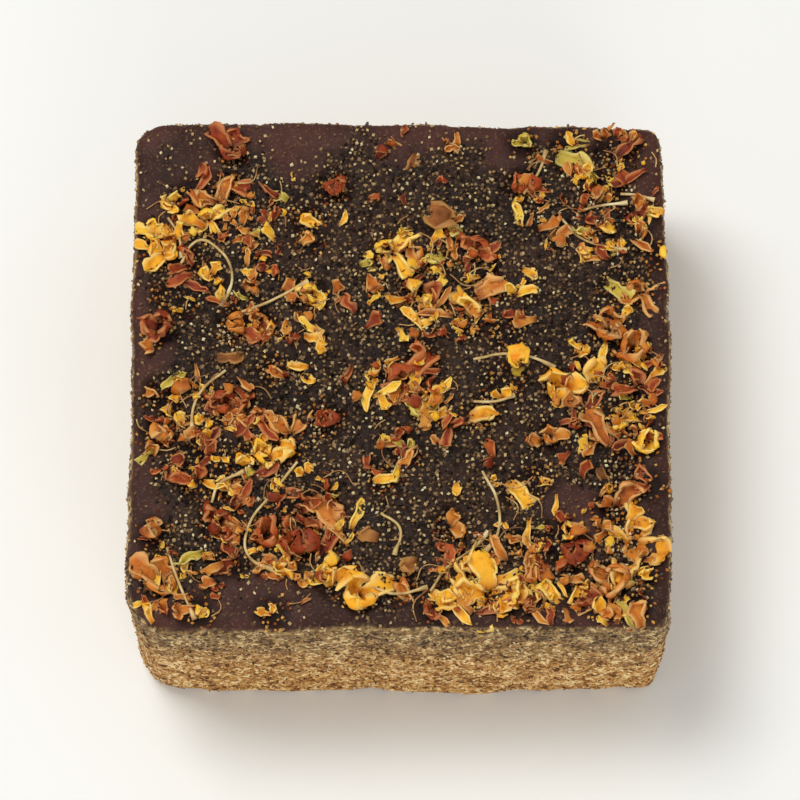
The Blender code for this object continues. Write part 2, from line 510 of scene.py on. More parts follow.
# Thin brown flakes of bud scale.
FLAKES = (
    (2.6, 12.4, 1.5, 20, "flake"),
    (1.0, 16.2, 0.75, 80, "flake"),
    (-12.4, 1.0, 0.8, 70, "flake"),
    (11.4, 10.6, 0.8, 0, "flake"),
    (-2.6, -12.6, 0.8, -30, "flake"),
    (0.4, -15.0, 0.7, 20, "flake"),
    (14.8, -8.2, 0.6, 110, "flake"),
)

# Where drifts of small torn bits lie thickest: place, reach in millimetres and how many. The last
# one is thin and covers the whole top.
DRIFTS = (
    (-8.0, -12.0, 5.0, 75),
    (-14.0, -5.0, 4.5, 65),
    (13.0, -15.5, 5.0, 80),
    (16.0, -2.0, 4.5, 70),
    (6.0, -16.5, 4.0, 60),
    (2.0, 7.0, 5.0, 70),
    (14.0, 14.0, 5.5, 75),
    (-13.0, 11.0, 5.0, 70),
    (-8.0, 5.0, 4.0, 28),
    (1.0, -3.0, 4.0, 45),
    (-16.5, -16.0, 3.5, 30),
    (0.0, 0.0, 19.0, 110),
)

# Stalks, each through a few places on the top.
STALKS = (
    ((-16.2, 8.4), (-15.0, 10.1), (-13.2, 9.2), (-12.4, 7.2), (-13.2, 5.0)),
    ((-17.2, 12.0), (-16.4, 10.6), (-16.2, 8.8)),
    ((-12.2, 4.4), (-9.6, 5.4), (-6.8, 7.0)),
    ((12.0, 11.9), (13.4, 10.4), (16.8, 9.4)),
    ((5.4, 0.8), (7.8, 1.3), (9.8, 1.0), (11.4, 0.2)),
    ((5.4, -2.4), (7.0, -2.4), (8.4, -1.9)),
    ((-12.8, 0.0), (-14.4, -1.4), (-15.1, -2.8), (-15.2, -4.8)),
    ((-7.5, -7.1), (-9.2, -9.4), (-11.0, -12.0), (-11.0, -14.2), (-8.8, -15.5)),
    ((-13.7, -10.2), (-13.2, -8.8), (-11.4, -7.8)),
    ((-1.4, -11.0), (0.0, -12.2), (-0.4, -14.2)),
    ((6.0, -7.8), (7.1, -10.2), (7.0, -12.8), (6.2, -13.9)),
    ((2.2, -16.9), (3.4, -15.1), (5.4, -13.6), (6.4, -12.4)),
    ((-2.0, -16.6), (-0.4, -17.1), (2.0, -16.6)),
    ((-16.9, -13.6), (-16.1, -16.0), (-14.8, -19.0)),
    ((13.2, 12.5), (15.0, 13.0), (16.9, 13.2)),
    ((16.4, 13.9), (17.6, 13.8), (18.9, 13.4)),
    ((9.2, 13.9), (10.4, 15.8), (10.9, 17.4)),
)

# Pits that blossoms left where none lies now.
HOLLOWS = ((-17.0, 6.0), (-16.2, 5.2), (15.6, -11.8), (16.6, -7.0), (-15.4, 14.0), (15.6, 17.2))

# Bare stretches where the sugar set smooth, away from the rims.
SMOOTH_PLACES = ((-15, 16), (-8, 18), (0, 18.5), (8, 18), (-10, -17), (-12.5, -18), (12.4, -10.8))

# The shapes of the small torn bits and how often each comes, their sizes against a full blossom,
# and how far from the middle bits and threads may lie, in millimetres.
TORN = {"scrap": 2, "twist": 2, "pair": 1, "shred": 5, "knot": 3}
BIT_SIZES = (0.24, 0.72)
BITS_WITHIN = 19.2
THREADS_WITHIN = 19.4

# Each kind of blossom: where its larger ones lie, its share of the torn bits, its petal, and that
# petal's colours: deep, middle, light and at the rims.
# The deep colour also paints shade into each throat, and the rim colour is partly a painted
# highlight.
KINDS = {
    "golden_blossoms": (
        GOLDEN,
        0.36,
        "dried_golden_petal",
        ("#B8560C", "#FCAE26", "#FFCE48", "#FFE08C"),
    ),
    "amber_blossoms": (
        AMBER,
        0.32,
        "dried_amber_petal",
        ("#66260A", "#C46A22", "#E49A3C", "#F0BE78"),
    ),
    "russet_blossoms": (
        RUSSET,
        0.29,
        "dried_russet_petal",
        ("#3E1008", "#923818", "#C25E28", "#DC9458"),
    ),
    "greenish_petals": (
        GREENISH,
        0.03,
        "dried_greenish_petal",
        ("#86701E", "#C6A436", "#E0C254", "#EAD484"),
    ),
}


def scattered(rng, kind_share):
    """Small torn bits for one kind: each drift gives it its share of them."""
    places = []
    for x, y, reach, count in DRIFTS:
        for _ in range(round(count * kind_share)):
            away = reach * math.sqrt(rng.random())
            angle = rng.uniform(0, math.tau)
            spot = (x + away * math.cos(angle), y + away * math.sin(angle))
            if max(abs(spot[0]), abs(spot[1])) < BITS_WITHIN:
                form = rng.choices(list(TORN), list(TORN.values()))[0]
                places.append((*spot, rng.uniform(*BIT_SIZES), rng.uniform(0, 360), form))
    return places


def curled_routes(rng):
    """Routes for short curled threads, one for every five bits of a drift."""
    routes = []
    for x, y, reach, count in DRIFTS:
        for _ in range(count // 5):
            away = reach * math.sqrt(rng.random())
            angle = rng.uniform(0, math.tau)
            centre = Vector((x + away * math.cos(angle), y + away * math.sin(angle)))
            radius = rng.uniform(0.5, 1.6)
            first = rng.uniform(0, math.tau)
            sweep = rng.uniform(0.8, 2.6)
            route = [
                centre + radius * Vector((math.cos(first + turn), math.sin(first + turn)))
                for turn in (0, sweep / 2, sweep)
            ]
            if max(abs(value) for place in route for value in place) < THREADS_WITHIN:
                routes.append(route)
    return routes


def places_mesh(name, places, rng, shapes):
    """A mesh with a vertex over each topping's place, kept in from the rims by the topping's own
    reach. Each vertex carries the turn, size, shape and tone of its topping."""
    mesh = bpy.data.meshes.new(name)
    spots = []
    for x, y, size, _, form in places:
        lobes, lobe_scale = FORMS[form][1], FORMS[form][7]
        spread = LOBE_LENGTH * lobe_scale * size * (1.0 if lobes > 1 else 0.5)
        reach = HALF_WIDTH - RIM_GAP - 0.9 * spread
        x, y = (max(-reach, min(reach, value * MM)) for value in (x, y))
        spots.append((x, y, TOP + DROP_HEIGHT))
    mesh.from_pydata(spots, [], [])
    leans = [rng.uniform(-0.3, 0.3) for _ in range(2 * len(places))]
    turns = [math.radians(place[3]) for place in places]
    poses = [angle for trio in zip(leans[::2], leans[1::2], turns, strict=True) for angle in trio]
    marks = (
        ("pose", "FLOAT_VECTOR", "vector", poses),
        ("size", "FLOAT", "value", [place[2] for place in places]),
        ("shape", "INT", "value", [rng.choice(shapes[place[4]]) for place in places]),
        ("tone", "FLOAT", "value", [rng.uniform(0.25, 0.75) for _ in places]),
    )
    for mark, kind, field, values in marks:
        mesh.attributes.new(mark, kind, "POINT").data.foreach_set(field, values)
    return link(bpy.data.objects.new(name, mesh))


# ---------------------------------------------------------------- the skin of the block


def relief_tree():
    """Gives the skin its lumps, granules and pits, and marks where each of them is."""
    tree, given = start_tree(
        "sugar_relief",
        {
            "Toppings": "Object",
            "Smooth Places": "Object",
            "Lump Height": "Float",
            "Lump Size": "Float",
            "Crust Height": "Float",
            "Crust Size": "Float",
            "Sand Height": "Float",
            "Sand Size": "Float",
            "Smooth Border": "Float",
            "Pit Depth": "Float",
            "Pit Reach": "Float",
            "Half Width": "Float",
            "Material": "Material",
        },
    )
    position = add(tree, "GeometryNodeInputPosition").outputs[0]
    normal = add(tree, "GeometryNodeInputNormal").outputs[0]
    facing = add(tree, "ShaderNodeSeparateXYZ", {0: normal}).outputs[2]
    upward = add(
        tree,
        "ShaderNodeMapRange",
        {0: facing, 1: 0.25, 2: 0.75},
        interpolation_type="SMOOTHSTEP",
    ).outputs[0]
    side = add(
        tree,
        "ShaderNodeMapRange",
        {0: facing, 1: 0.75, 2: 0.25},
        interpolation_type="SMOOTHSTEP",
    ).outputs[0]

    # How far in from the rims, and from the smooth places, each point is.
    plan = add(tree, "ShaderNodeSeparateXYZ", {0: position})
    reach_x = add(tree, "ShaderNodeMath", {0: plan.outputs[0]}, operation="ABSOLUTE").outputs[0]
    reach_y = add(tree, "ShaderNodeMath", {0: plan.outputs[1]}, operation="ABSOLUTE").outputs[0]
    reach = add(tree, "ShaderNodeMath", {0: reach_x, 1: reach_y}, operation="MAXIMUM").outputs[0]
    inset = add(
        tree, "ShaderNodeMath", {0: given["Half Width"], 1: reach}, operation="SUBTRACT"
    ).outputs[0]
    smooth_places = add(tree, "GeometryNodeObjectInfo", {"Object": given["Smooth Places"]})
    to_smooth = add(
        tree,
        "GeometryNodeProximity",
        {0: smooth_places.outputs["Geometry"]},
        target_element="POINTS",
    ).outputs["Distance"]
    nearest = add(tree, "ShaderNodeMath", {0: inset, 1: to_smooth}, operation="MINIMUM").outputs[0]
    wander = add(
        tree, "ShaderNodeTexNoise", {"Vector": position, "Scale": 1 / (4.5 * MM), "Detail": 3.0}
    ).outputs["Fac"]
    wander = add(
        tree, "ShaderNodeMath", {0: wander, 1: 6 * MM, 2: -3 * MM}, operation="MULTIPLY_ADD"
    ).outputs[0]
    inside = add(tree, "ShaderNodeMath", {0: nearest, 1: wander}, operation="ADD").outputs[0]
    outer = add(
        tree, "ShaderNodeMath", {0: given["Smooth Border"], 1: 2.0}, operation="MULTIPLY"
    ).outputs[0]
    granular = add(
        tree,
        "ShaderNodeMapRange",
        {0: inside, 1: given["Smooth Border"], 2: outer, 3: 0.3, 4: 1.0},
        interpolation_type="SMOOTHSTEP",
    ).outputs[0]
    granular = add(
        tree, "ShaderNodeMath", {0: granular, 1: upward}, operation="MULTIPLY"
    ).outputs[0]

    # Lumps everywhere, granules on the crust and on the cut sides, and pits under the toppings.
    lump_scale = add(
        tree, "ShaderNodeMath", {0: 1.0, 1: given["Lump Size"]}, operation="DIVIDE"
    ).outputs[0]
    lump = add(
        tree, "ShaderNodeTexNoise", {"Vector": position, "Scale": lump_scale, "Detail": 3.0}
    ).outputs["Fac"]
    lump = add(tree, "ShaderNodeMath", {0: lump, 1: 0.5}, operation="SUBTRACT").outputs[0]
    lump_double = add(
        tree, "ShaderNodeMath", {0: given["Lump Height"], 1: 2.0}, operation="MULTIPLY"
    ).outputs[0]
    rise = add(
        tree, "ShaderNodeMath", {0: lump, 1: lump_double}, operation="MULTIPLY"
    ).outputs[0]
    for where, size_name, height_name in (
        (granular, "Crust Size", "Crust Height"),
        (side, "Sand Size", "Sand Height"),
    ):
        scale = add(
            tree, "ShaderNodeMath", {0: 1.0, 1: given[size_name]}, operation="DIVIDE"
        ).outputs[0]
        cells = add(
            tree, "ShaderNodeTexVoronoi", {"Vector": position, "Scale": scale}
        ).outputs["Distance"]
        dome = add(tree, "ShaderNodeMath", {0: 0.45, 1: cells}, operation="SUBTRACT").outputs[0]
        dome = add(
            tree, "ShaderNodeMath", {0: dome, 1: given[height_name]}, operation="MULTIPLY"
        ).outputs[0]
        rise = add(
            tree, "ShaderNodeMath", {0: dome, 1: where, 2: rise}, operation="MULTIPLY_ADD"
        ).outputs[0]
    toppings = add(tree, "GeometryNodeObjectInfo", {"Object": given["Toppings"]})
    to_topping = add(
        tree, "GeometryNodeProximity", {0: toppings.outputs["Geometry"]}, target_element="POINTS"
    ).outputs["Distance"]
    pit_inner = add(
        tree, "ShaderNodeMath", {0: given["Pit Reach"], 1: 0.35}, operation="MULTIPLY"
    ).outputs[0]
    pit = add(
        tree,
        "ShaderNodeMapRange",
        {0: to_topping, 1: given["Pit Reach"], 2: pit_inner},
        interpolation_type="SMOOTHSTEP",
    ).outputs[0]
    pit = add(tree, "ShaderNodeMath", {0: pit, 1: upward}, operation="MULTIPLY").outputs[0]
    deep = add(tree, "ShaderNodeMath", {0: pit, 1: granular}, operation="MULTIPLY").outputs[0]
    dig = add(
        tree, "ShaderNodeMath", {0: given["Pit Depth"], 1: -1.0}, operation="MULTIPLY"
    ).outputs[0]
    rise = add(
        tree, "ShaderNodeMath", {0: deep, 1: dig, 2: rise}, operation="MULTIPLY_ADD"
    ).outputs[0]

    # The base stays flat, so that the block rests level.
    off_base = add(
        tree, "ShaderNodeMapRange", {0: plan.outputs[2], 1: BASE_FLAT, 2: BASE_FULL}
    ).outputs[0]
    rise = add(tree, "ShaderNodeMath", {0: rise, 1: off_base}, operation="MULTIPLY").outputs[0]
    loose = add(tree, "ShaderNodeMath", {0: side, 1: off_base}, operation="MULTIPLY").outputs[0]
    offset = add(tree, "ShaderNodeVectorMath", {0: normal, "Scale": rise}, operation="SCALE")
    geometry = given["Geometry"]
    for name, value in (
        ("granular", granular),
        ("pit", pit),
        ("side", side),
        ("loose_side", loose),
    ):
        geometry = add(
            tree,
            "GeometryNodeStoreNamedAttribute",
            {"Geometry": geometry, "Name": name, "Value": value},
            data_type="FLOAT",
            domain="POINT",
        ).outputs[0]
    moved = add(
        tree, "GeometryNodeSetPosition", {"Geometry": geometry, "Offset": offset.outputs[0]}
    )
    end_tree(tree, moved.outputs[0], given["Material"])
    return tree


def skin_base():
    """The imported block's surface as an even mesh, twice as fine on top."""
    skin = link(bpy.data.objects.new("skin_base", frame["nodes"]["sugar_block"].data.copy()))
    skin.data.materials.clear()
    weld = skin.modifiers.new("weld", "WELD")
    weld.merge_threshold = 0.001 * MM
    remesh = skin.modifiers.new("remesh", "REMESH")
    remesh.mode = "VOXEL"
    remesh.voxel_size = SIDE_SPACING
    apply_modifiers(skin)
    mesh = bmesh.new()
    mesh.from_mesh(skin.data)
    top_edges = [e for e in mesh.edges if min(v.co.z for v in e.verts) > TOP - TOP_BAND]
    bmesh.ops.subdivide_edges(mesh, edges=top_edges, cuts=1, use_grid_fill=True)
    bmesh.ops.triangulate(mesh, faces=[f for f in mesh.faces if len(f.verts) > 4])
    mesh.to_mesh(skin.data)
    mesh.free()
    skin.data.shade_smooth()
    return skin


# ---------------------------------------------------------------- grains

# Each kind of loose or half-set grain: the mark of the skin that it keeps to, how thickly it is
# strewn there, the size of its crystals, and how deep they sit. Less than none stands proud.
GRAINS = {
    "dark_sugar_grains": {
        "Mark": "granular",
        "Least Mark": 0.32,
        "Patch Size": 3.0 * MM,
        "Patchiness": 0.1,
        "Spacing": 0.24 * MM,
        "Grain Size": 0.31 * MM,
        "Sink": 0.0,
        "Seed": 1,
    },
    "sand_sugar_grains": {
        "Mark": "loose_side",
        "Least Mark": 0.1,
        "Patch Size": 3.0 * MM,
        "Patchiness": 0.2,
        "Spacing": 0.37 * MM,
        "Grain Size": 0.30 * MM,
        "Sink": 0.06 * MM,
        "Seed": 2,
    },
    "fine_sugar_sand": {
        "Mark": "loose_side",
        "Least Mark": 0.1,
        "Patch Size": 3.0 * MM,
        "Patchiness": 0.2,
        "Spacing": 0.36 * MM,
        "Grain Size": 0.22 * MM,
        "Sink": 0.03 * MM,
        "Seed": 6,
    },
    "sugar_crumbs": {
        "Mark": "granular",
        "Least Mark": 0.08,
        "Patch Size": 2.2 * MM,
        "Patchiness": 0.6,
        "Spacing": 0.27 * MM,
        "Grain Size": 0.23 * MM,
        "Sink": -0.09 * MM,
        "Seed": 3,
    },
    "blossom_dust": {
        "Mark": "pit",
        "Least Mark": 0.0,
        "Patch Size": 1.6 * MM,
        "Patchiness": 0.6,
        "Spacing": 0.29 * MM,
        "Grain Size": 0.24 * MM,
        "Sink": -0.09 * MM,
        "Seed": 4,
    },
}

# Their tones, from the darkest crystal to the palest, and their roughness. Those without tones
# take the colours of the cut sides.
GRAIN_FINISHES = {
    "dark_sugar_grains": (
        ((0.0, "#140D0A"), (0.5, "#2C1E17"), (0.8, "#604630"), (1.0, "#A88860")),
        0.5,
    ),
    "sand_sugar_grains": (None, 0.5),
    "fine_sugar_sand": (None, 0.5),
    "sugar_crumbs": (
        ((0.0, "#54402A"), (0.5, "#8E7049"), (0.85, "#C4A672"), (1.0, "#EAD6A8")),
        0.45,
    ),
    "blossom_dust": (
        ((0.0, "#4E2010"), (0.35, "#8A481E"), (0.7, "#BE7A2E"), (1.0, "#E0AE5C")),
        0.6,
    ),
}


def crystal():
    """A raw sugar crystal of unit size: eight skewed, unlike faces."""
    mesh = bmesh.new()
    bmesh.ops.create_uvsphere(mesh, u_segments=4, v_segments=2, radius=0.6)
    for vertex in mesh.verts:
        vertex.co += 0.22 * noise.noise_vector(vertex.co * 3.7)
    data = bpy.data.meshes.new("crystal")
    mesh.to_mesh(data)
    mesh.free()
    return link(bpy.data.objects.new("crystal", data))


def grain_tree():
    """Strews crystals over the skin, thick where the named mark is high."""
    tree, given = start_tree(
        "sugar_grains",
        {
            "Crystal": "Object",
            "Mark": "String",
            "Least Mark": "Float",
            "Patch Size": "Float",
            "Patchiness": "Float",
            "Spacing": "Float",
            "Grain Size": "Float",
            "Sink": "Float",
            "Seed": "Int",
            "Material": "Material",
        },
    )
    mark = add(
        tree, "GeometryNodeInputNamedAttribute", {"Name": given["Mark"]}, data_type="FLOAT"
    ).outputs["Attribute"]
    marked = add(
        tree, "ShaderNodeMath", {0: mark, 1: given["Least Mark"]}, operation="SUBTRACT"
    ).outputs[0]
    position = add(tree, "GeometryNodeInputPosition").outputs[0]
    patch_scale = add(
        tree, "ShaderNodeMath", {0: 1.0, 1: given["Patch Size"]}, operation="DIVIDE"
    ).outputs[0]
    patch = add(
        tree, "ShaderNodeTexNoise", {"Vector": position, "Scale": patch_scale, "Detail": 3.0}
    ).outputs["Fac"]
    patch = add(
        tree, "ShaderNodeMapRange", {0: patch, 1: 0.38, 2: 0.62}, interpolation_type="SMOOTHSTEP"
    ).outputs[0]
    full = add(tree, "ShaderNodeMath", {0: 1.0, 1: given["Patchiness"]}, operation="SUBTRACT")
    patch = add(
        tree,
        "ShaderNodeMath",
        {0: patch, 1: given["Patchiness"], 2: full.outputs[0]},
        operation="MULTIPLY_ADD",
    ).outputs[0]
    factor = add(tree, "ShaderNodeMath", {0: marked, 1: patch}, operation="MULTIPLY").outputs[0]
    factor = add(tree, "ShaderNodeClamp", {0: factor}).outputs[0]
    per_area = add(
        tree, "ShaderNodeMath", {0: given["Spacing"], 1: -2.0}, operation="POWER"
    ).outputs[0]
    points = add(
        tree,
        "GeometryNodeDistributePointsOnFaces",
        {
            "Mesh": given["Geometry"],
            "Distance Min": given["Spacing"],
            "Density Max": per_area,
            "Density Factor": factor,
            "Seed": given["Seed"],
        },
        distribute_method="POISSON",
    )
    down = add(
        tree, "ShaderNodeMath", {0: given["Sink"], 1: -1.0}, operation="MULTIPLY"
    ).outputs[0]
    normal = points.outputs["Normal"]
    offset = add(
        tree, "ShaderNodeVectorMath", {0: normal, "Scale": down}, operation="SCALE"
    ).outputs[0]
    sunk = add(
        tree,
        "GeometryNodeSetPosition",
        {"Geometry": points.outputs["Points"], "Offset": offset},
    )
    turn = add(
        tree,
        "FunctionNodeRandomValue",
        {0: (0.0, 0.0, 0.0), 1: (math.tau, math.tau, math.tau), "Seed": given["Seed"]},
        data_type="FLOAT_VECTOR",
    ).outputs[0]
    turn = add(tree, "FunctionNodeEulerToRotation", {0: turn}).outputs[0]
    uneven = add(
        tree,
        "FunctionNodeRandomValue",
        {0: (0.65, 0.65, 0.65), 1: (1.3, 1.3, 1.3), "Seed": 3},
        data_type="FLOAT_VECTOR",
    ).outputs[0]
    size = add(
        tree, "ShaderNodeVectorMath", {0: uneven, "Scale": given["Grain Size"]}, operation="SCALE"
    ).outputs[0]
    grain = add(tree, "GeometryNodeObjectInfo", {"Object": given["Crystal"]})
    laid = add(
        tree,
        "GeometryNodeInstanceOnPoints",
        {
            "Points": sunk.outputs[0],
            "Instance": grain.outputs["Geometry"],
            "Rotation": turn,
            "Scale": size,
        },
    )
    tone = add(
        tree, "FunctionNodeRandomValue", {2: 0.0, 3: 1.0, "Seed": 9}, data_type="FLOAT"
    ).outputs[1]
    toned = add(
        tree,
        "GeometryNodeStoreNamedAttribute",
        {"Geometry": laid.outputs[0], "Name": "tone", "Value": tone},
        data_type="FLOAT",
        domain="INSTANCE",
    )
    end_tree(tree, toned.outputs[0], given["Material"])
    return tree


# ---------------------------------------------------------------- blossom shapes


def lobe(mesh, rows, columns, shape, rng):
    """Adds one petal to a bmesh: a grid bent up from the throat, curled and rolled at its edges."""
    along_layer = mesh.verts.layers.float.get("along") or mesh.verts.layers.float.new("along")
    across_layer = mesh.verts.layers.float.get("across") or mesh.verts.layers.float.new("across")
    grid = bmesh.ops.create_grid(mesh, x_segments=columns, y_segments=rows, size=1.0)["verts"]
    seed = Vector((rng.uniform(0, 90), rng.uniform(0, 90), rng.uniform(0, 90)))
    out = Vector((math.cos(shape["heading"]), math.sin(shape["heading"]), 0))
    aside = Vector((-out.y, out.x, 0))
    up = Vector((0, 0, 1))
    for vertex in grid:
        across, along = vertex.co.x, (vertex.co.y + 1) / 2
        vertex[along_layer] = along
        vertex[across_layer] = across
        wide = shape["width"] / 2 * (1 - 0.55 * (1 - along) ** 2) * math.sqrt(1 - 0.94 * along**6)
        ragged = noise.noise(seed + Vector((math.copysign(3.0, across), along * 4.0, 0)))
        wide *= 1 + 0.4 * ragged * abs(across)
        bend = shape["curl"] * along
        straight = shape["length"] * (math.sin(bend) / shape["curl"])
        rise = shape["length"] * ((1 - math.cos(bend)) / shape["curl"])
        angle = shape["lift"] + bend
        lengthwise = out * math.cos(shape["lift"]) + up * math.sin(shape["lift"])
        crosswise = up * math.cos(shape["lift"]) - out * math.sin(shape["lift"])
        face = up * math.cos(angle) - out * math.sin(angle)
        roll = shape["roll"] * across
        place = out * shape["throat"] + lengthwise * straight + crosswise * rise
        place += aside * wide * math.sin(roll) / shape["roll"]
        place += face * wide * (1 - math.cos(roll)) / abs(shape["roll"])
        ruffle = noise.noise_vector(seed + Vector((across * 1.5, along * 2.4, 0)))
        place += ruffle * shape["ruffle"] * (0.25 + 0.75 * along) * (0.4 + 0.6 * abs(across))
        vertex.co = place


def away_from_zero(rng, low, high):
    """A random number between low and high, of either sign."""
    return rng.choice((-1, 1)) * rng.uniform(low, high)


def make_shape(name, rng, count, rows, columns, lifts, curls, rolls, scale=1.0, narrow=1.0):
    """A blossom or a part of one, with this many lobes, as an object of one thin solid mesh."""
    mesh = bmesh.new()
    first = rng.uniform(0, math.tau)
    for i in range(count):
        lobe(
            mesh,
            rows,
            columns,
            {
                "heading": first + math.tau * i / max(count, 4) + rng.uniform(-0.2, 0.2),
                "throat": THROAT if count > 1 else -0.5 * LOBE_LENGTH * scale,
                "length": LOBE_LENGTH * scale * rng.uniform(0.85, 1.15),
                "width": LOBE_WIDTH * scale * narrow * rng.uniform(0.85, 1.15),
                "lift": rng.uniform(*lifts),
                "curl": away_from_zero(rng, *curls) if rng.random() < 0.3 else rng.uniform(*curls),
                "roll": rng.uniform(*rolls),
                "ruffle": RUFFLE,
            },
            rng,
        )
    data = bpy.data.meshes.new(name)
    mesh.to_mesh(data)
    mesh.free()
    data.shade_smooth()
    made = link(bpy.data.objects.new(name, data))
    thick = made.modifiers.new("thick", "SOLIDIFY")
    thick.thickness = PETAL_THICKNESS
    thick.offset = 0.0
    apply_modifiers(made)
    return made


# For each form: how many variants, lobes, rows and columns, then the ranges of lift, curl and
# roll in radians, the scale of a lobe and how narrow it is.
FORMS = {
    "open": (5, 4, 8, 6, (0.0, 0.5), (0.3, 1.2), (0.5, 1.3), 1.0, 1.0),
    "closed": (5, 4, 8, 6, (0.3, 0.9), (0.8, 1.8), (0.7, 1.5), 1.0, 1.1),
    "crumpled": (6, 4, 8, 6, (-0.1, 1.0), (0.8, 2.4), (1.0, 2.2), 1.0, 1.0),
    "petals": (5, 2, 8, 6, (0.0, 0.6), (0.5, 1.6), (0.7, 1.7), 1.05, 0.9),
    "petal": (6, 1, 8, 6, (-0.2, 0.3), (0.4, 1.3), (0.6, 1.5), 1.25, 0.9),
    "curl": (5, 1, 10, 5, (0.0, 0.4), (1.8, 3.2), (0.9, 1.8), 1.6, 0.6),
    "scrap": (6, 1, 5, 4, (-0.2, 0.3), (0.4, 1.3), (0.6, 1.5), 1.3, 0.9),
    "twist": (6, 1, 6, 3, (0.0, 0.4), (1.8, 3.2), (0.9, 1.8), 1.6, 0.6),
    "pair": (6, 2, 5, 3, (0.0, 0.6), (0.5, 1.6), (0.7, 1.7), 1.05, 0.9),
    "shred": (6, 1, 5, 3, (-0.2, 0.6), (0.5, 2.4), (0.7, 1.7), 1.6, 0.5),
    "knot": (6, 2, 4, 3, (0.0, 1.0), (1.0, 2.4), (0.9, 1.9), 1.1, 0.9),
    "flake": (4, 1, 6, 6, (-0.1, 0.2), (0.3, 1.0), (0.4, 1.2), 1.15, 0.95),
}


def blossom_shapes():
    """All the shapes, in a collection of their own, and which of them belong to each form."""
    rng = random.Random(11)
    collection = bpy.data.collections.new("blossom_shapes")
    shapes = {}
    total = 0
    for form, (variants, *rest) in FORMS.items():
        shapes[form] = list(range(total, total + variants))
        for _ in range(variants):
            made = make_shape(f"shape_{total:02d}", rng, *rest)
            bpy.context.scene.collection.objects.unlink(made)
            collection.objects.link(made)
            total += 1
    return collection, shapes


def topping_tree():
    """Lays the shapes on the block at their marked places, then crumples each where it lies."""
    tree, given = start_tree(
        "toppings",
        {
            "Shapes": "Collection",
            "Block": "Object",
            "Sink": "Float",
            "Pressed": "Float",
            "Crumple": "Float",
            "Crumple Size": "Float",
            "Ceiling": "Float",
            "Furthest Out": "Float",
            "Material": "Material",
        },
    )
    position = add(tree, "GeometryNodeInputPosition").outputs[0]
    block = add(tree, "GeometryNodeObjectInfo", {"Object": given["Block"]})
    below = add(
        tree,
        "GeometryNodeRaycast",
        {
            "Target Geometry": block.outputs["Geometry"],
            "Source Position": position,
            "Ray Direction": (0.0, 0.0, -1.0),
            "Ray Length": DROP_REACH,
        },
    )
    down = add(
        tree, "ShaderNodeMath", {0: given["Sink"], 1: -1.0}, operation="MULTIPLY"
    ).outputs[0]
    offset = add(tree, "ShaderNodeCombineXYZ", {2: down}).outputs[0]
    rested = add(
        tree,
        "GeometryNodeSetPosition",
        {
            "Geometry": given["Geometry"],
            "Selection": below.outputs["Is Hit"],
            "Position": below.outputs["Hit Position"],
            "Offset": offset,
        },
    )
    pose = add(
        tree, "GeometryNodeInputNamedAttribute", {"Name": "pose"}, data_type="FLOAT_VECTOR"
    ).outputs["Attribute"]
    size = add(
        tree, "GeometryNodeInputNamedAttribute", {"Name": "size"}, data_type="FLOAT"
    ).outputs["Attribute"]
    shape = add(
        tree, "GeometryNodeInputNamedAttribute", {"Name": "shape"}, data_type="INT"
    ).outputs["Attribute"]
    rotation = add(tree, "FunctionNodeEulerToRotation", {0: pose}).outputs[0]
    flat = add(
        tree, "ShaderNodeMath", {0: size, 1: given["Pressed"]}, operation="MULTIPLY"
    ).outputs[0]
    scale = add(tree, "ShaderNodeCombineXYZ", {0: size, 1: size, 2: flat}).outputs[0]
    shapes = add(
        tree,
        "GeometryNodeCollectionInfo",
        {"Collection": given["Shapes"], "Separate Children": True, "Reset Children": True},
    )
    laid = add(
        tree,
        "GeometryNodeInstanceOnPoints",
        {
            "Points": rested.outputs[0],
            "Instance": shapes.outputs[0],
            "Pick Instance": True,
            "Instance Index": shape,
            "Rotation": rotation,
            "Scale": scale,
        },
    )
    real = add(tree, "GeometryNodeRealizeInstances", {"Geometry": laid.outputs[0]})
    wave_scale = add(
        tree, "ShaderNodeMath", {0: 1.0, 1: given["Crumple Size"]}, operation="DIVIDE"
    ).outputs[0]
    wave = add(
        tree, "ShaderNodeTexNoise", {"Vector": position, "Scale": wave_scale, "Detail": 4.0}
    ).outputs["Color"]
    wave = add(
        tree, "ShaderNodeVectorMath", {0: wave, 1: (0.5, 0.5, 0.5)}, operation="SUBTRACT"
    ).outputs[0]
    strength = add(
        tree, "ShaderNodeMath", {0: given["Crumple"], 1: 2.0}, operation="MULTIPLY"
    ).outputs[0]
    shift = add(
        tree, "ShaderNodeVectorMath", {0: wave, "Scale": strength}, operation="SCALE"
    ).outputs[0]
    crumpled = add(
        tree, "GeometryNodeSetPosition", {"Geometry": real.outputs[0], "Offset": shift}
    )
    spot = add(tree, "ShaderNodeSeparateXYZ", {0: position})
    height = add(
        tree,
        "ShaderNodeMath",
        {0: spot.outputs[2], 1: given["Ceiling"], 2: 0.5 * MM},
        operation="SMOOTH_MIN",
    ).outputs[0]
    furthest_in = add(
        tree, "ShaderNodeMath", {0: given["Furthest Out"], 1: -1.0}, operation="MULTIPLY"
    ).outputs[0]
    plan = []
    for axis in (0, 1):
        inner = add(
            tree,
            "ShaderNodeMath",
            {0: spot.outputs[axis], 1: given["Furthest Out"], 2: 0.4 * MM},
            operation="SMOOTH_MIN",
        ).outputs[0]
        plan.append(
            add(
                tree,
                "ShaderNodeMath",
                {0: inner, 1: furthest_in, 2: 0.4 * MM},
                operation="SMOOTH_MAX",
            ).outputs[0]
        )
    lowered = add(tree, "ShaderNodeCombineXYZ", {0: plan[0], 1: plan[1], 2: height}).outputs[0]
    patted = add(
        tree, "GeometryNodeSetPosition", {"Geometry": crumpled.outputs[0], "Position": lowered}
    )
    end_tree(tree, patted.outputs[0], given["Material"])
    return tree


# ---------------------------------------------------------------- stalks


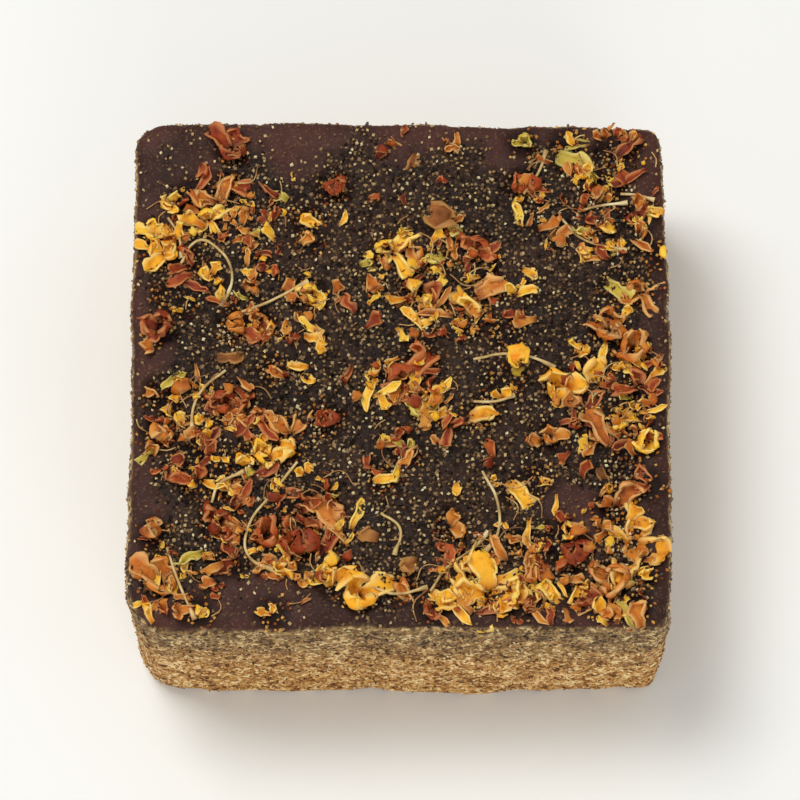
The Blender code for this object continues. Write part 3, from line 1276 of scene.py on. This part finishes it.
def stalk_lines(name, routes):
    """One curve object with a smooth line through each route's places, just over the block."""
    curve = bpy.data.curves.new(name, "CURVE")
    curve.dimensions = "3D"
    for route in routes:
        spline = curve.splines.new("BEZIER")
        spline.bezier_points.add(len(route) - 1)
        for point, (x, y) in zip(spline.bezier_points, route, strict=True):
            point.co = (x * MM, y * MM, TOP + DROP_HEIGHT)
            point.handle_left_type = "AUTO"
            point.handle_right_type = "AUTO"
    return link(bpy.data.objects.new(name, curve))


def stalk_tree():
    """Lays each line on the block and gives it a stalk's thickness, swollen at its far end."""
    tree, given = start_tree(
        "stalks",
        {
            "Block": "Object",
            "Thickness": "Float",
            "Swelling": "Float",
            "Lowest": "Float",
            "Step": "Float",
            "Material": "Material",
        },
    )
    points = add(
        tree,
        "GeometryNodeResampleCurve",
        {"Curve": given["Geometry"], "Length": given["Step"]},
        mode="LENGTH",
    )
    position = add(tree, "GeometryNodeInputPosition").outputs[0]
    block = add(tree, "GeometryNodeObjectInfo", {"Object": given["Block"]})
    below = add(
        tree,
        "GeometryNodeRaycast",
        {
            "Target Geometry": block.outputs["Geometry"],
            "Source Position": position,
            "Ray Direction": (0.0, 0.0, -1.0),
            "Ray Length": DROP_REACH,
        },
    ).outputs["Hit Position"]
    hit = add(tree, "ShaderNodeSeparateXYZ", {0: below})
    level = add(
        tree, "ShaderNodeMath", {0: hit.outputs[2], 1: given["Lowest"]}, operation="MAXIMUM"
    ).outputs[0]
    sway = add(
        tree, "ShaderNodeTexNoise", {"Vector": position, "Scale": 1 / (3.0 * MM)}
    ).outputs["Fac"]
    level = add(
        tree, "ShaderNodeMath", {0: sway, 1: 0.3 * MM, 2: level}, operation="MULTIPLY_ADD"
    ).outputs[0]
    place = add(
        tree, "ShaderNodeCombineXYZ", {0: hit.outputs[0], 1: hit.outputs[1], 2: level}
    ).outputs[0]
    rested = add(
        tree, "GeometryNodeSetPosition", {"Geometry": points.outputs[0], "Position": place}
    )
    along = add(tree, "GeometryNodeSplineParameter").outputs["Factor"]
    swell = add(
        tree,
        "ShaderNodeMapRange",
        {0: along, 1: 0.75, 2: 1.0, 3: 0.75, 4: given["Swelling"]},
        interpolation_type="SMOOTHSTEP",
    ).outputs[0]
    half = add(
        tree, "ShaderNodeMath", {0: given["Thickness"], 1: 0.5}, operation="MULTIPLY"
    ).outputs[0]
    radius = add(tree, "ShaderNodeMath", {0: swell, 1: half}, operation="MULTIPLY").outputs[0]
    ring = add(tree, "GeometryNodeCurvePrimitiveCircle", {"Resolution": 8, "Radius": 1.0})
    tube = add(
        tree,
        "GeometryNodeCurveToMesh",
        {
            "Curve": rested.outputs[0],
            "Profile Curve": ring.outputs[0],
            "Scale": radius,
            "Fill Caps": True,
        },
    )
    end_tree(tree, tube.outputs[0], given["Material"])
    return tree


# ---------------------------------------------------------------- making it


def keep(piece):
    """Makes a finished piece part of the block."""
    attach(piece, "root")


def make_block():
    """The skin first, then the grains, blossoms and stalks that are laid on it."""
    rng = random.Random(5)
    collection, shapes = blossom_shapes()
    places = {}
    for name, (heroes, share, petal, tones) in KINDS.items():
        every = list(heroes) + scattered(rng, share)
        spots = places_mesh(name + "_places", every, rng, shapes)
        places[name] = (spots, dried_petal(petal, *tones))
    places["brown_flakes"] = (
        places_mesh("brown_flakes_places", FLAKES, rng, shapes),
        dried_petal("dried_bud_scale", "#5A3010", "#985A28", "#B87C3E", "#C49252"),
    )

    # Each larger blossom sits in a pit of its own.
    heroes = [spot for group in (GOLDEN, AMBER, RUSSET, GREENISH) for spot in group]
    heroes += [(x, y, 1.0, 0, "petal") for x, y in HOLLOWS]
    pits = places_mesh("pits", heroes, rng, shapes)
    for vertex in pits.data.vertices:
        vertex.co.z = TOP
    bare = bpy.data.meshes.new("smooth_places")
    bare.from_pydata([(x * MM, y * MM, TOP) for x, y in SMOOTH_PLACES], [], [])
    bare = link(bpy.data.objects.new("smooth_places", bare))

    base = skin_base()
    block = grow(
        "jaggery_skin",
        base,
        relief_tree(),
        {
            "Toppings": pits,
            "Smooth Places": bare,
            "Lump Height": LUMP_HEIGHT,
            "Lump Size": LUMP_SIZE,
            "Crust Height": CRUST_HEIGHT,
            "Crust Size": CRUST_SIZE,
            "Sand Height": SAND_HEIGHT,
            "Sand Size": SAND_SIZE,
            "Smooth Border": SMOOTH_BORDER,
            "Pit Depth": PIT_DEPTH,
            "Pit Reach": PIT_REACH,
            "Half Width": HALF_WIDTH,
            "Material": set_jaggery(),
        },
    )

    speck = crystal()
    strew = grain_tree()
    pieces = []
    for name, values in GRAINS.items():
        finish = sugar_grains(name, *GRAIN_FINISHES[name])
        made = grow(name, block, strew, {"Crystal": speck, "Material": finish, **values})
        pieces.append((made, "sugar_grain"))

    lay = topping_tree()
    for name, (spots, material) in places.items():
        made = grow(
            name,
            spots,
            lay,
            {
                "Shapes": collection,
                "Block": block,
                "Sink": -0.1 * MM,  # they lie a little proud
                "Pressed": PRESSED,
                "Crumple": CRUMPLE,
                "Crumple Size": CRUMPLE_SIZE,
                "Ceiling": TOP + CEILING,
                "Furthest Out": HALF_WIDTH - RIM_GAP,
                "Material": material,
            },
        )
        discard(spots)
        pieces.append((made, "osmanthus_petal"))

    stalk_stops = ((0.3, "#8A6638"), (0.5, "#C8A868"), (0.72, "#EAD8A6"))
    fibre_stops = ((0.3, "#6A3E1C"), (0.5, "#AC7A3C"), (0.72, "#D8B672"))
    fibres = curled_routes(rng)
    lay_stalk = stalk_tree()
    for name, routes, thickness, swelling, stops in (
        ("stalks", STALKS, STALK_THICKNESS, 1.5, stalk_stops),
        ("fibres", fibres, FIBRE_THICKNESS, 0.6, fibre_stops),
    ):
        lines = stalk_lines(name + "_lines", routes)
        made = grow(
            name,
            lines,
            lay_stalk,
            {
                "Block": block,
                "Thickness": thickness,
                "Swelling": swelling,
                "Lowest": TOP - 0.3 * MM,
                "Step": 0.3 * MM,
                "Material": dried_stalk("dried_" + name, stops),
            },
        )
        discard(lines)
        pieces.append((made, "osmanthus_stalk"))

    for leftover in (pits, bare, base, speck, *collection.objects):
        discard(leftover)
    keep(block)
    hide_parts("sugar_block")
    for piece, slot in pieces:
        keep(piece)


# ---------------------------------------------------------------- stage, light and camera

FOCAL_LENGTH = 215.0  # a long lens, in the millimetres that lenses are sold by
CAMERA_DISTANCE = 0.357
CAMERA_ELEVATION = math.radians(71)
AIM_HEIGHT = 0.62 * HEIGHT


def make_floor():
    """A plain pale floor."""
    mesh = bmesh.new()
    bmesh.ops.create_grid(mesh, x_segments=1, y_segments=1, size=1.0)
    data = bpy.data.meshes.new("floor")
    mesh.to_mesh(data)
    mesh.free()
    floor = link(bpy.data.objects.new("floor", data))
    floor.location.z = BLOCK_LOW.z
    material = bpy.data.materials.new("pale_floor")
    material.use_nodes = True
    shader = material.node_tree.nodes["Principled BSDF"]
    shader.inputs["Base Color"].default_value = colour("#F1F1EC")
    shader.inputs["Roughness"].default_value = 0.6
    data.materials.append(material)


def add_softbox(name, place, size, power):
    """A square lamp aimed at the middle of the block."""
    data = bpy.data.lights.new(name, "AREA")
    data.shape = "SQUARE"
    data.size = size
    data.energy = power
    lamp = link(bpy.data.objects.new(name, data))
    lamp.location = place
    aim = Vector((0, 0, HEIGHT / 2)) - Vector(place)
    lamp.rotation_euler = aim.to_track_quat("-Z", "Y").to_euler()


def make_light():
    """Soft daylight from all round, and a softbox above and a little behind."""
    world = bpy.data.worlds.new("studio")
    world.use_nodes = True
    background = world.node_tree.nodes["Background"]
    background.inputs["Color"].default_value = (1.0, 1.0, 1.0, 1.0)
    background.inputs["Strength"].default_value = 0.5
    path = add(world.node_tree, "ShaderNodeLightPath")
    seen = add(
        world.node_tree,
        "ShaderNodeMapRange",
        {0: path.outputs["Is Camera Ray"], 3: 0.5, 4: 1.0},
    )
    world.node_tree.links.new(seen.outputs[0], background.inputs["Strength"])
    bpy.context.scene.world = world
    add_softbox("key", (-0.14, 0.10, 0.44), 0.18, 1.2)
    add_softbox("fill", (0.10, -0.46, 0.22), 0.30, 0.7)


def make_camera():
    """Looks down on the top, with a little of the front."""
    data = bpy.data.cameras.new("camera")
    data.lens = FOCAL_LENGTH
    data.clip_start = 0.01
    camera = link(bpy.data.objects.new("camera", data))
    aim = Vector((0, 0, AIM_HEIGHT))
    away = Vector((0, -math.cos(CAMERA_ELEVATION), math.sin(CAMERA_ELEVATION)))
    camera.location = aim + away * CAMERA_DISTANCE
    camera.rotation_euler = (-away).to_track_quat("-Z", "Y").to_euler()
    bpy.context.scene.camera = camera


make_block()
make_floor()
make_light()
make_camera()
bpy.context.scene.view_settings.view_transform = "Standard"
